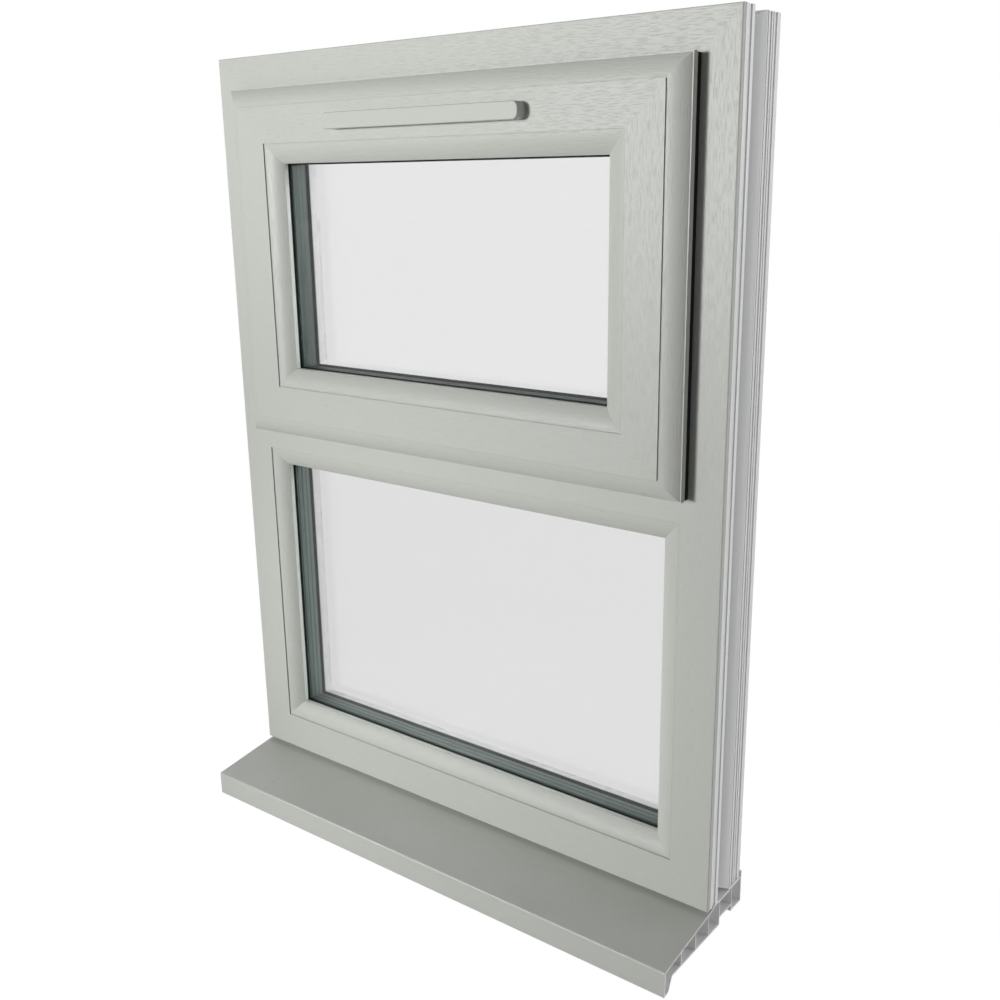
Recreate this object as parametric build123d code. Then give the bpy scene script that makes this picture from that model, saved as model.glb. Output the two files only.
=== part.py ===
from build123d import *
import math
import os

# Lengths are in millimetres. +X runs along the window, +Y goes into the room and +Z is up.
# The outer frame's weather face lies on y = 0, and the cill beds down on z = 0.

# Overall sizes
frame_width = 610.0
frame_height = 794.5
frame_depth = 70.0
transom_height_share = 0.493
sash_projection = 23.4
cill_seat = 28.0
cut_overrun = 5.0

# Profile shape shared by the outer frame, the transom and the sash
face_width = 41.2
transom_face_width = 30.9
sash_face_width = 36.1
moulding_width = 19.2
inner_moulding_width = 20.0
moulding_drop = 9.2
quirk_depth = 1.2
return_depth = 5.2
rebate_height = 17.0
wall = 2.6
edge_radius = 1.2
interior_radius = 3.0
rear_inset = 1.5

# Sash lip, body and hardware groove
lip_cover = 8.2
lip_flat = 1.0
lip_side_depth = 6.2
lip_seat_width = 5.4
flange_gap = 5.0
body_clearance = 7.4
hardware_groove_width = 16.0
hardware_groove_depth = 2.8

# Glazing
gasket_thickness = 2.6
gasket_width = 7.0
gasket_lip = 1.2
gasket_tip_gap = 0.2
bulb_round = 1.2
pane_thickness = 4.0
spacer_height = 7.0
seal_height = 5.0
glass_clearance = 4.0
packer_length = 60.0
packer_place_share = 0.61

# Glazing bead
bead_setback = 2.4
bead_groove_inset = 9.6
bead_groove_width = 3.8
bead_groove_depth = 4.0
bead_foot_width = 3.2
bead_foot_depth = 3.4
bead_depth = 20.0
bead_toe_height = 3.5
bead_nose = 2.5
bead_chamber_wall = 1.6

# Grooves around the outside of the frame: front, back and depth as shares of the frame's depth
perimeter_groove_shares = (
    (0.061, 0.076, 0.012),
    (0.142, 0.220, 0.013),
    (0.663, 0.691, 0.030),
    (0.719, 0.773, 0.033),
    (0.801, 0.829, 0.030),
    (0.856, 0.913, 0.034),
)

# Wide recess between the grooves, with a ramp up to the rear flange
recess_front_share = 0.288
recess_back_share = 0.637
recess_depth_share = 0.094
recess_ramp_share = 0.157

# Fixing holes through the jambs
fixing_line_share = 0.4186
fixing_radius = 3.75
fixing_inset = 100.0

# Cill
cill_nose = 79.5
cill_fall = 14.0
cill_nose_height = 26.2
cill_drip_width = 7.7
cill_drip_rise = 1.8
cill_drip_top_width = 14.0
cill_step_width = 2.5
cill_step_height = 2.5
cill_step_place = 13.3
cill_rest_back = 26.5
cill_rest_lift = 8.0
cill_heel_front = 50.0
cill_heel_lift = 1.7
cill_upstand_height = 6.5
cill_upstand_width = 1.5
cill_nose_radius = 1.8
cill_skin = 1.6
cill_web = 1.3
cill_web_shares = (0.20, 0.38, 0.55)

# Trickle vent
canopy_length = 235.0
canopy_height = 15.4
canopy_depth = 12.0
canopy_corner = 6.0
canopy_edge = 1.0
canopy_wall = 1.6
vent_slot_inset = 15.5
vent_slot_height = 4.6
vent_slot_bridge = 12.0
grille_length = 250.0
grille_height = 20.0
grille_depth = 11.0
grille_corner = 4.0
grille_wall = 1.8
louvre_count = 10
louvre_pitch_share = 0.08
louvre_width_share = 0.43
louvre_height = 7.0
shutter_thickness = 1.6
shutter_gap = 0.3
tab_width = 7.0
tab_height = 5.0
tab_reach = 4.0
tab_place_share = 0.448

# Friction stays
opening_angle = 45.0
short_arm_share = 0.2308
pivot_inset = 12.5
arm_width = 12.0
arm_thickness = 2.4
stay_gap = 0.3
vent_bar_width = 14.0
vent_bar_thickness = 3.0
vent_bar_tail = 30.0
track_width = 20.0
track_thickness = 3.0
track_slot_width = 12.0
track_slot_depth = 2.0
track_gap = 0.5
track_head = 20.0
track_tail = 36.0
track_foot_gap = 8.86
slider_length = 30.0
slider_room = 2.0
pin_radius = 3.0
pin_fit = 0.08
screw_radius = 2.0
screw_head_radius = 3.6
screw_head_height = 1.2
screw_length = 26.0
stay_screw_inset = 8.0
bar_screw_reach = 10.0

# Espagnolette lock
rod_half_length = 170.0
rod_thickness = 2.5
rod_fit = 0.3
cam_place = 130.0
cam_radius = 4.0
cam_head_radius = 5.0
cam_head_height = 2.0
cam_length = 6.2
keep_length = 24.0
keep_start = 8.0
keep_wall = 3.9
keep_base_height = 3.6
keep_depth = 24.0
keep_top_gap = 1.8
keep_gap = 0.8
keep_tail = 14.0
gearbox_half_length = 30.0
gearbox_depth = 14.0
gearbox_height = 13.0
gearbox_gap = 0.3

# Handle
handle_base_length = 72.0
handle_base_height = 21.0
handle_base_depth = 9.0
handle_base_corner = 8.0
handle_base_edge = 2.5
handle_screw_spacing = 43.0
hub_radius = 9.5
lever_reach = 112.0
lever_width = 15.0
lever_depth = 8.0
lever_offset = 17.0
lever_bend_radius = 9.0
lever_edge = 2.5
spindle_side = 7.0
spindle_hole_radius = 5.3
button_radius = 4.0
button_fit = 0.3
button_height = 3.4
button_travel = 3.0
button_length = 8.0

# Places worked out from the sizes
sightline = face_width + moulding_width
upstand_back = moulding_drop + return_depth
rebate_floor = sightline - rebate_height
glass_front = upstand_back + gasket_thickness
bead_front = frame_depth - bead_setback - bead_depth
bead_groove_front = bead_front + bead_groove_inset
unit_depth = bead_front - gasket_thickness - glass_front
spacer_width = unit_depth - 2 * pane_thickness
recess_front = recess_front_share * frame_depth
recess_back = recess_back_share * frame_depth
recess_floor = recess_depth_share * frame_depth
recess_ramp = recess_ramp_share * frame_depth
transom_step = transom_face_width / 2
transom_sightline = transom_step + moulding_width
transom_floor = transom_sightline - rebate_height
frame_top = cill_seat + frame_height
transom_level = cill_seat + transom_height_share * frame_height
transom_rebate = transom_level + transom_floor
sash_face = -sash_projection
sash_back = sash_face + frame_depth
lip_edge = face_width - lip_cover
lip_front = sash_face + moulding_drop
lip_back = lip_front + lip_side_depth
flange_back = -flange_gap
body_side = sightline - lip_edge + body_clearance
sash_step = moulding_width + sash_face_width
sash_sightline = sash_step + inner_moulding_width
sash_floor = sash_sightline - rebate_height
sash_width = frame_width - 2 * lip_edge
sash_bottom = transom_level + transom_step - lip_cover
sash_top = frame_top - lip_edge
sash_height = sash_top - sash_bottom
hardware_line = (upstand_back + sash_back) / 2
groove_front = hardware_line - hardware_groove_width / 2
groove_back = hardware_line + hardware_groove_width / 2
groove_floor = body_side + hardware_groove_depth


def span_box(x_span, y_span, z_span):
    """Box between the given limits along X, Y and Z."""
    spans = (x_span, y_span, z_span)
    middle = [(low + high) / 2 for low, high in spans]
    size = [high - low for low, high in spans]
    return Pos(*middle) * Box(*size)


def section_box(depth_span, inward_span):
    """Rectangle in a profile's section, by depth into the room and distance inward."""
    middle = (sum(depth_span) / 2, sum(inward_span) / 2)
    size = (depth_span[1] - depth_span[0], inward_span[1] - inward_span[0])
    return Pos(*middle) * Rectangle(*size)


def rod_along_x(radius, x_span, depth, level):
    """Round rod along X."""
    middle = (x_span[0] + x_span[1]) / 2
    return Pos(middle, depth, level) * Rot(0, 90, 0) * Cylinder(radius, abs(x_span[1] - x_span[0]))


def rod_along_y(radius, x_place, y_span, level):
    """Round rod along Y."""
    middle = (y_span[0] + y_span[1]) / 2
    return Pos(x_place, middle, level) * Rot(90, 0, 0) * Cylinder(radius, abs(y_span[1] - y_span[0]))


def rod_along_z(radius, x_place, depth, z_span):
    """Round rod along Z."""
    middle = (z_span[0] + z_span[1]) / 2
    return Pos(x_place, depth, middle) * Cylinder(radius, abs(z_span[1] - z_span[0]))


def corner_round(section, place, radius):
    """Round the corner of a section nearest to a place."""
    nearest = section.vertices().sort_by_distance(Vector(*place, 0))[0]
    return fillet(nearest, radius)


def mitred_bar(section, length):
    """Profile along X, drawn from its outer edge inward to +Z, with both ends mitred."""
    bar = extrude(Plane.YZ * section, amount=length / 2 + cut_overrun, both=True)
    for end in (1, -1):
        mitre = Plane(origin=(end * length / 2, 0, 0), z_dir=(end, 0, 1))
        bar = split(bar, bisect_by=mitre, keep=Keep.BOTTOM)
    return bar


def mitred_set(section, width, bottom, height):
    """Four mitred bars around an upright rectangle, by the name of their side."""
    flat = mitred_bar(section, width)
    upright = mitred_bar(section, height)
    middle = bottom + height / 2
    return {
        "bottom": Pos(0, 0, bottom) * flat,
        "top": Pos(0, 0, bottom + height) * Rot(0, 180, 0) * flat,
        "left": Pos(-width / 2, 0, middle) * Rot(0, 90, 0) * upright,
        "right": Pos(width / 2, 0, middle) * Rot(0, -90, 0) * upright,
    }


def ring(section, width, bottom, height):
    """One closed ring from four mitred bars."""
    bars = mitred_set(section, width, bottom, height)
    return bars["bottom"] + bars["top"] + bars["left"] + bars["right"]


def bead_groove(face, floor, way):
    """Groove that a glazing bead's foot clips into, on the side given by the way."""
    front = face + bead_groove_front
    deep = sorted((floor + way * cut_overrun, floor - way * bead_groove_depth))
    return section_box((front, front + bead_groove_width), deep)


def frame_section():
    """Outer frame: ribbed outside edge, weather face, moulding, rebate and three chambers."""
    line = Polyline((0, 0), (0, face_width), (quirk_depth, face_width))
    line += TangentArc((quirk_depth, face_width), (moulding_drop, sightline), tangent=(0, 1))
    line += Polyline(
        (moulding_drop, sightline),
        (upstand_back, sightline),
        (upstand_back, rebate_floor),
        (frame_depth, rebate_floor),
        (frame_depth, 0),
        (0, 0),
    )
    section = make_face(line)
    section = corner_round(section, (0, 0), edge_radius)
    section = corner_round(section, (frame_depth, rebate_floor), interior_radius)
    section -= section_box((recess_back, frame_depth + cut_overrun), (-cut_overrun, rear_inset))
    recess_line = Polyline(
        (recess_front, -cut_overrun),
        (recess_front, recess_floor),
        (recess_back - recess_ramp, recess_floor),
        (recess_back, rear_inset),
        (recess_back, -cut_overrun),
        close=True,
    )
    section -= make_face(recess_line)
    for front, back, depth in perimeter_groove_shares:
        groove = (-cut_overrun, depth * frame_depth)
        section -= section_box((front * frame_depth, back * frame_depth), groove)
    section -= bead_groove(0, rebate_floor, 1)
    foot_front = bead_groove_front - wall
    section -= section_box((2 * wall, upstand_back - wall), (2 * wall, rebate_floor + 2 * wall))
    section -= section_box((upstand_back, recess_front - wall), (2 * wall, rebate_floor - wall))
    main_chamber = (recess_floor + wall, rebate_floor - wall)
    section -= section_box((recess_front, foot_front - wall), main_chamber)
    rear_chamber = (recess_floor + wall, rebate_floor - bead_groove_depth - wall)
    section -= section_box((foot_front, frame_depth - wall), rear_chamber)
    return section


def transom_section():
    """Transom: the same moulding and rebate on both sides of its centre line."""
    line = Polyline((0, 0), (0, transom_step), (quirk_depth, transom_step))
    line += TangentArc((quirk_depth, transom_step), (moulding_drop, transom_sightline), tangent=(0, 1))
    line += Polyline(
        (moulding_drop, transom_sightline),
        (upstand_back, transom_sightline),
        (upstand_back, transom_floor),
        (frame_depth, transom_floor),
        (frame_depth, 0),
        (0, 0),
    )
    half = corner_round(make_face(line), (frame_depth, transom_floor), interior_radius)
    half -= bead_groove(0, transom_floor, 1)
    section = half + mirror(half, about=Plane.XZ)
    front_half = transom_step + 2 * wall
    main_half = transom_floor - wall
    foot_front = bead_groove_front - wall
    rear_half = transom_floor - bead_groove_depth - wall
    section -= section_box((2 * wall, upstand_back - wall), (-front_half, front_half))
    section -= section_box((upstand_back, foot_front - wall), (-main_half, main_half))
    section -= section_box((foot_front, frame_depth - wall), (-rear_half, rear_half))
    return section


def sash_section():
    """Sash: lip over the frame, face between two mouldings, rebate and hardware groove."""
    quirk = sash_face + quirk_depth
    rebate_front = sash_face + upstand_back
    line = Polyline((lip_back, 0), (lip_front, 0), (lip_front, lip_flat))
    line += TangentArc((quirk, moulding_width), (lip_front, lip_flat), tangent=(0, -1))
    line += Polyline(
        (quirk, moulding_width),
        (sash_face, moulding_width),
        (sash_face, sash_step),
        (quirk, sash_step),
    )
    line += TangentArc((quirk, sash_step), (lip_front, sash_sightline), tangent=(0, 1))
    line += Polyline(
        (lip_front, sash_sightline),
        (rebate_front, sash_sightline),
        (rebate_front, sash_floor),
        (sash_back, sash_floor),
        (sash_back, body_side),
        (flange_back, body_side),
        (flange_back, lip_seat_width),
        (lip_back, lip_seat_width),
        (lip_back, 0),
    )
    section = corner_round(make_face(line), (sash_back, sash_floor), interior_radius)
    section = corner_round(section, (sash_back, body_side), edge_radius)
    section -= section_box((groove_front, groove_back), (body_side - cut_overrun, groove_floor))
    section -= bead_groove(sash_face, sash_floor, 1)
    inner = sash_floor - wall
    section -= section_box((sash_face + 2 * wall, flange_back - wall), (2 * lip_seat_width, sash_step))
    section -= section_box((flange_back, groove_front - wall), (body_side + wall, inner))
    rear_chamber = (groove_floor + wall, inner - bead_groove_depth)
    section -= section_box((groove_front, sash_back - wall), rear_chamber)
    return section


def bead_section(face):
    """Glazing bead from the rebate floor inward: upright, sloped room side and clip foot."""
    front = face + bead_front
    toe = front + bead_depth
    foot_front = face + bead_groove_front + (bead_groove_width - bead_foot_width) / 2
    foot_back = foot_front + bead_foot_width
    line = Polyline(
        (foot_front, 0),
        (front, 0),
        (front, rebate_height),
        (front + bead_nose, rebate_height),
    )
    line += TangentArc((front + bead_nose, rebate_height), (toe, bead_toe_height), tangent=(1, 0))
    line += Polyline(
        (toe, bead_toe_height),
        (toe, 0),
        (foot_back, 0),
        (foot_back, -bead_foot_depth),
        (foot_front, -bead_foot_depth),
        (foot_front, 0),
    )
    section = make_face(line)
    chamber_back = front + (bead_depth + bead_nose) / 2
    chamber = (bead_chamber_wall, (rebate_height + bead_toe_height) / 2)
    section -= section_box((front + bead_chamber_wall, chamber_back), chamber)
    return section


# Outer frame and transom

transom_point = sightline - transom_sightline
frame_bars = mitred_set(frame_section(), frame_width, cill_seat, frame_height)
transom_half = frame_width / 2 - transom_point
transom = extrude(Plane.YZ * transom_section(), amount=transom_half, both=True)
for end in (1, -1):
    for way in (1, -1):
        joint = Plane(origin=(end * transom_half, 0, 0), z_dir=(end, 0, way))
        transom = split(transom, bisect_by=joint, keep=Keep.BOTTOM)
transom = Pos(0, 0, transom_level) * transom

notch_reach = transom_sightline + cut_overrun
notch_line = Polyline(
    (transom_half, 0),
    (transom_half - notch_reach, notch_reach),
    (transom_half - notch_reach, -notch_reach),
    close=True,
)
notch_depth = (frame_depth + 2 * cut_overrun) / 2
notch = extrude(Plane.XZ * make_face(notch_line), amount=notch_depth, both=True)
notch = Pos(0, frame_depth / 2, transom_level) * notch
jamb_right = frame_bars["right"] - notch
jamb_left = frame_bars["left"] - mirror(notch, about=Plane.YZ)
for level in (cill_seat + fixing_inset, frame_top - fixing_inset):
    hole_span = (frame_width / 2 - rebate_floor - cut_overrun, frame_width / 2 + cut_overrun)
    hole = rod_along_x(fixing_radius, hole_span, fixing_line_share * frame_depth, level)
    jamb_right -= hole
    jamb_left -= mirror(hole, about=Plane.YZ)


# Cill with its open chambers, drip nose and rear upstand

cill_back = frame_depth + cill_upstand_width
cill_front_top = cill_seat - cill_step_height - cill_fall
cill_drip_bottom = cill_front_top - cill_nose_height
cill_outline = Polyline(
    (-cill_nose, cill_front_top),
    (-cill_nose, cill_drip_bottom),
    (-cill_nose + cill_drip_width, cill_drip_bottom + cill_drip_rise),
    (-cill_nose + cill_drip_top_width, 0),
    (cill_rest_back, 0),
    (cill_rest_back, cill_rest_lift),
    (cill_heel_front, cill_rest_lift),
    (cill_heel_front, cill_heel_lift),
    (cill_back, cill_heel_lift),
    (cill_back, cill_seat + rear_inset),
    (recess_back, cill_seat + rear_inset),
    (recess_back, cill_seat),
    (cill_step_place, cill_seat),
    (cill_step_place - cill_step_width, cill_seat - cill_step_height),
    close=True,
)
cill_body = make_face(cill_outline)
cill_hollow = offset(cill_body, amount=-cill_skin, kind=Kind.INTERSECTION)
cill_depth = cill_back + cill_nose
web_places = [share * cill_depth - cill_nose for share in cill_web_shares]
web_places += [cill_rest_back - cill_skin / 2, cill_heel_front + cill_skin / 2]
for place in web_places:
    web = (place - cill_web / 2, place + cill_web / 2)
    cill_hollow -= section_box(web, (cill_drip_bottom, frame_top))
cill_section = corner_round(cill_body, (-cill_nose, cill_front_top), cill_nose_radius) - cill_hollow
upstand_span = (cill_seat, cill_seat + rear_inset + cill_upstand_height)
cill_section += section_box((frame_depth, cill_back), upstand_span)
cill = extrude(Plane.YZ * cill_section, amount=frame_width / 2, both=True)


# Glazing of one light: panes, spacer, edge seal, gaskets, beads and setting packers

def wedge(glass_side, outer_side):
    """Glazing gasket whose lip stands past the sightline, highest at the glass."""
    foot = rebate_height - gasket_width
    line = Polyline(
        (glass_side, foot),
        (glass_side, rebate_height + gasket_lip),
        (outer_side, rebate_height + gasket_lip / 2),
        (outer_side, foot),
        close=True,
    )
    return make_face(line)


def glaze(face, half_width, bottom, top):
    """Pieces of a sealed unit in a rebate, given the rebate's clear rectangle."""
    pieces = {}
    width = 2 * half_width
    height = top - bottom
    front = face + glass_front
    inner_front = front + pane_thickness + spacer_width
    glass_half = half_width - glass_clearance
    glass_span = (bottom + glass_clearance, top - glass_clearance)
    x_span = (-glass_half, glass_half)
    pieces["outer_pane"] = span_box(x_span, (front, front + pane_thickness), glass_span)
    pieces["inner_pane"] = span_box(x_span, (inner_front, inner_front + pane_thickness), glass_span)
    gap_span = (front + pane_thickness, inner_front)
    seal_top = glass_clearance + seal_height
    seal = section_box(gap_span, (glass_clearance, seal_top))
    pieces["edge_seal"] = ring(seal, width, bottom, height)
    spacer = section_box(gap_span, (seal_top, seal_top + spacer_height))
    pieces["spacer_bar"] = ring(spacer, width, bottom, height)
    gasket = wedge(front, front - gasket_thickness)
    pieces["glazing_gasket"] = ring(gasket, width, bottom, height)
    inner_back = front + unit_depth
    bead_gasket = wedge(inner_back, inner_back + gasket_thickness)
    pieces["bead_gasket"] = ring(bead_gasket, width, bottom, height)
    for side, bar in mitred_set(bead_section(face), width, bottom, height).items():
        pieces["bead_" + side] = bar
    packer_half = packer_length / 2
    packers = []
    for end in (-1, 1):
        middle = end * packer_place_share * half_width
        x_place = (middle - packer_half, middle + packer_half)
        block = span_box(x_place, (front, front + unit_depth), (bottom, bottom + glass_clearance))
        packers.append(block)
    pieces["glazing_packers"] = Compound(children=packers)
    return pieces


fixed_half = frame_width / 2 - rebate_floor
fixed_glazing = glaze(0, fixed_half, cill_seat + rebate_floor, transom_level - transom_floor)
sash_half = sash_width / 2 - sash_floor
sash_glazing = glaze(sash_face, sash_half, sash_bottom + sash_floor, sash_top - sash_floor)


# Sash frame and its weather gasket

sash_bars = mitred_set(sash_section(), sash_width, sash_bottom, sash_height)
gasket_edge = gasket_tip_gap + stay_gap
bulb_line = Polyline(
    (lip_back, gasket_edge),
    (-gasket_tip_gap - bulb_round, gasket_edge),
    (-gasket_tip_gap, gasket_edge + bulb_round),
    (-gasket_tip_gap, lip_seat_width - gasket_edge),
    (lip_back, lip_seat_width - gasket_edge),
    close=True,
)
weather_gasket = ring(make_face(bulb_line), sash_width, sash_bottom, sash_height)


# Trickle vent through the sash's top rail

canopy_level = sash_top - moulding_width - sash_face_width / 2
canopy_plane = Plane.XZ.offset(sash_projection) * Pos(0, canopy_level)
canopy_outline = RectangleRounded(canopy_length, canopy_height, canopy_corner)
canopy = extrude(canopy_plane * canopy_outline, canopy_depth)
canopy = fillet(canopy.faces().sort_by(Axis.Y)[0].edges(), canopy_edge)
hollow_size = (canopy_length - 2 * canopy_wall, canopy_height - 2 * canopy_wall)
canopy_hollow = RectangleRounded(*hollow_size, canopy_corner - canopy_wall)
canopy -= extrude(canopy_plane * canopy_hollow, canopy_depth - canopy_wall)
vent_slot_length = (canopy_length - vent_slot_bridge) / 2 - vent_slot_inset
slot_places = [way * (vent_slot_length + vent_slot_bridge) / 2 for way in (-1, 1)]
canopy_bottom = canopy_level - canopy_height / 2
for place in slot_places:
    slot_half = vent_slot_length / 2
    slot_depth = (sash_face - canopy_depth + 2 * canopy_wall, sash_face - canopy_wall)
    slot_rise = (canopy_bottom - cut_overrun, canopy_bottom + 2 * canopy_wall)
    canopy -= span_box((place - slot_half, place + slot_half), slot_depth, slot_rise)

vent_slot_level = sash_top - groove_floor - wall - vent_slot_height / 2
top_rail = sash_bars["top"]
for place in slot_places:
    slot = Plane.XZ.offset(sash_projection + cut_overrun) * Pos(place, vent_slot_level)
    slot_cut = slot * SlotOverall(vent_slot_length, vent_slot_height)
    top_rail -= extrude(slot_cut, -(frame_depth + 2 * cut_overrun))

grille_level = sash_top - (body_side + sash_floor) / 2
grille_plane = Plane.XZ.offset(-sash_back) * Pos(0, grille_level)
grille_outline = RectangleRounded(grille_length, grille_height, grille_corner)
grille = extrude(grille_plane * grille_outline, -grille_depth)
grille = fillet(grille.faces().sort_by(Axis.Y)[-1].edges(), canopy_edge)
hollow_size = (grille_length - 2 * grille_wall, grille_height - 2 * grille_wall)
grille_hollow = RectangleRounded(*hollow_size, grille_corner - grille_wall)
grille -= extrude(grille_plane * grille_hollow, -(grille_depth - grille_wall))
louvre_pitch = louvre_pitch_share * grille_length
louvre_row = GridLocations(louvre_pitch, 0, louvre_count, 1)
louvres = Sketch() + louvre_row * Rectangle(louvre_width_share * louvre_pitch, louvre_height)
louvre_cut = extrude(grille_plane * louvres, -(grille_depth + cut_overrun))
grille -= louvre_cut
shutter_travel = louvre_pitch / 2
shutter_back = sash_back + grille_depth - grille_wall - shutter_gap
shutter_front = shutter_back - shutter_thickness
shutter_half = grille_length / 2 - grille_wall - shutter_gap - shutter_travel / 2
shutter_half_height = grille_height / 2 - grille_wall - shutter_gap
shutter_corner = grille_corner - grille_wall
shutter_outline = RectangleRounded(2 * shutter_half, 2 * shutter_half_height, shutter_corner)
shutter_plane = Plane.XZ.offset(-shutter_front) * Pos(-shutter_travel / 2, grille_level)
shutter = extrude(shutter_plane * shutter_outline, -shutter_thickness)
shutter -= Pos(-shutter_travel, 0, 0) * louvre_cut
tab_half = tab_width / 2
tab_place = tab_place_share * grille_length
tab_rise = (grille_level - tab_height / 2, grille_level + tab_height / 2)
tab_depth = (shutter_back, sash_back + grille_depth + tab_reach)
shutter += span_box((-tab_place - tab_half, -tab_place + tab_half), tab_depth, tab_rise)
tab_room = (-tab_place - tab_half - shutter_gap, -tab_place + tab_half + shutter_travel + shutter_gap)
tab_room_rise = (tab_rise[0] - shutter_gap, tab_rise[1] + shutter_gap)
grille -= span_box(tab_room, (shutter_back, sash_back + grille_depth + cut_overrun), tab_room_rise)


# Friction stays, drawn on the right and mirrored to the left

stay_top = sash_top - body_side - pivot_inset
stay_room = stay_top - transom_rebate - track_foot_gap - track_tail
short_arm_reach = short_arm_share * stay_room
bar_reach = (stay_room - short_arm_reach) / 2
short_pivot = stay_top - short_arm_reach
long_pivot = stay_top - bar_reach
slide_pivot = short_pivot - 2 * bar_reach
bar_inner = sash_width / 2 - groove_floor
bar_outer = bar_inner + vent_bar_thickness
arm_inner = bar_outer + stay_gap
arm_outer = arm_inner + arm_thickness
track_inner = arm_outer + track_gap
track_outer = track_inner + track_thickness
jamb_floor = frame_width / 2 - rebate_floor
track_span = (slide_pivot - track_tail, short_pivot + track_head)
slide_travel = 2 * bar_reach * (1 - math.cos(math.radians(opening_angle)))
packer_depth = (hardware_line - track_width / 2, hardware_line + track_width / 2)


def link(x_start, x_end, low, high, width):
    """Flat link with round ends between two pivots on the hardware line."""
    outline = Rot(0, 0, 90) * SlotCenterToCenter(high - low, width)
    outline = Pos(hardware_line, (low + high) / 2) * outline
    return extrude(Plane.YZ.offset(x_start) * outline, x_end - x_start)


def pivot_hole(level):
    """Hole of a link that runs on a stay pin."""
    hole_span = (arm_inner - track_gap, arm_outer + track_gap)
    return rod_along_x(pin_radius + pin_fit, hole_span, hardware_line, level)


track_body = span_box((track_inner, track_outer), packer_depth, track_span)
slot_half = track_slot_width / 2
slot_bottom = slide_pivot - slider_length / 2 - slider_room
slot_top = slide_pivot + slide_travel + slider_length / 2 + slider_room
slot_rise = (slot_bottom, slot_top)
slot_reach = (track_inner - cut_overrun, track_inner + track_slot_depth)
track_body -= span_box(slot_reach, (hardware_line - slot_half, hardware_line + slot_half), slot_rise)
track_body += rod_along_x(pin_radius, (arm_inner, track_inner), hardware_line, short_pivot)
stay_screw_levels = (
    track_span[0] + stay_screw_inset,
    (slot_top + short_pivot) / 2,
    track_span[1] - stay_screw_inset,
)
stay_packer = span_box((track_outer, jamb_floor), packer_depth, track_span)
stay_screws = []
for level in stay_screw_levels:
    head_end = track_inner + screw_head_height
    head = rod_along_x(screw_head_radius, (track_inner, head_end), hardware_line, level)
    shank_span = (head_end, head_end + screw_length)
    shank = rod_along_x(screw_radius, shank_span, hardware_line, level)
    head_room = (track_inner - cut_overrun, head_end)
    track_body -= rod_along_x(screw_head_radius, head_room, hardware_line, level)
    track_body -= shank
    stay_packer -= shank
    jamb_right -= shank
    jamb_left -= mirror(shank, about=Plane.YZ)
    stay_screws.append(head + shank)

slider_depth = (hardware_line - slot_half + stay_gap, hardware_line + slot_half - stay_gap)
slider_rise = (slide_pivot - slider_length / 2, slide_pivot + slider_length / 2)
slider_seat = track_inner + track_slot_depth - stay_gap
slider = span_box((arm_outer + stay_gap, slider_seat), slider_depth, slider_rise)
slider += rod_along_x(pin_radius, (arm_inner, arm_outer + stay_gap), hardware_line, slide_pivot)

short_arm = link(arm_inner, arm_outer, short_pivot, stay_top, arm_width)
short_arm -= pivot_hole(short_pivot)
short_arm -= pivot_hole(stay_top)
long_arm = link(arm_inner, arm_outer, slide_pivot, long_pivot, arm_width)
long_arm -= pivot_hole(slide_pivot)
long_arm -= pivot_hole(long_pivot)

vent_bar = link(bar_inner, bar_outer, long_pivot - vent_bar_tail, stay_top, vent_bar_width)
for level in (stay_top, long_pivot):
    vent_bar += rod_along_x(pin_radius, (bar_outer, arm_outer), hardware_line, level)
stile_right = sash_bars["right"]
stile_left = sash_bars["left"]
bar_screws = []
for level in ((stay_top + long_pivot) / 2, long_pivot - vent_bar_tail / 2):
    head_start = bar_outer - screw_head_height
    head = rod_along_x(screw_head_radius, (head_start, bar_outer), hardware_line, level)
    shank = rod_along_x(screw_radius, (bar_inner - bar_screw_reach, head_start), hardware_line, level)
    vent_bar -= head
    vent_bar -= shank
    stile_right -= shank
    stile_left -= mirror(shank, about=Plane.YZ)
    bar_screws.append(head + shank)


# Espagnolette on the underside of the sash's bottom rail, with its keeps on the transom

rail_underside = sash_bottom + body_side
rod_rise = (rail_underside, rail_underside + rod_thickness)
rod_depth = (groove_front + rod_fit, groove_back - rod_fit)
lock_rod = span_box((-rod_half_length, rod_half_length), rod_depth, rod_rise)
cam_tip = rail_underside - cam_length
keeps = []
keep_screws = []
for end in (-1, 1):
    place = end * cam_place
    lock_rod += rod_along_z(cam_radius, place, hardware_line, (cam_tip, rail_underside))
    lock_rod += rod_along_z(cam_head_radius, place, hardware_line, (cam_tip, cam_tip + cam_head_height))
    striker_back = hardware_line - cam_head_radius - keep_gap
    striker_front = striker_back - keep_wall
    striker_x = (place + keep_start, place + keep_start + keep_length)
    plate_x = (striker_x[0] - keep_tail, striker_x[1] + keep_tail)
    keep_top = rail_underside - keep_top_gap
    keep = span_box(striker_x, (striker_front, striker_back), (transom_rebate, keep_top))
    plate_rise = (transom_rebate, transom_rebate + keep_base_height)
    keep += span_box(plate_x, (striker_front, striker_front + keep_depth), plate_rise)
    for screw_x in (plate_x[0] + keep_tail / 2, plate_x[1] - keep_tail / 2):
        head_top = plate_rise[1]
        shank_rise = (head_top - screw_length / 2, head_top - screw_head_height)
        head = rod_along_z(screw_head_radius, screw_x, hardware_line, (shank_rise[1], head_top))
        shank = rod_along_z(screw_radius, screw_x, hardware_line, shank_rise)
        keep -= head
        keep -= shank
        transom -= shank
        keep_screws.append(head + shank)
    keeps.append(keep)

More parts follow.
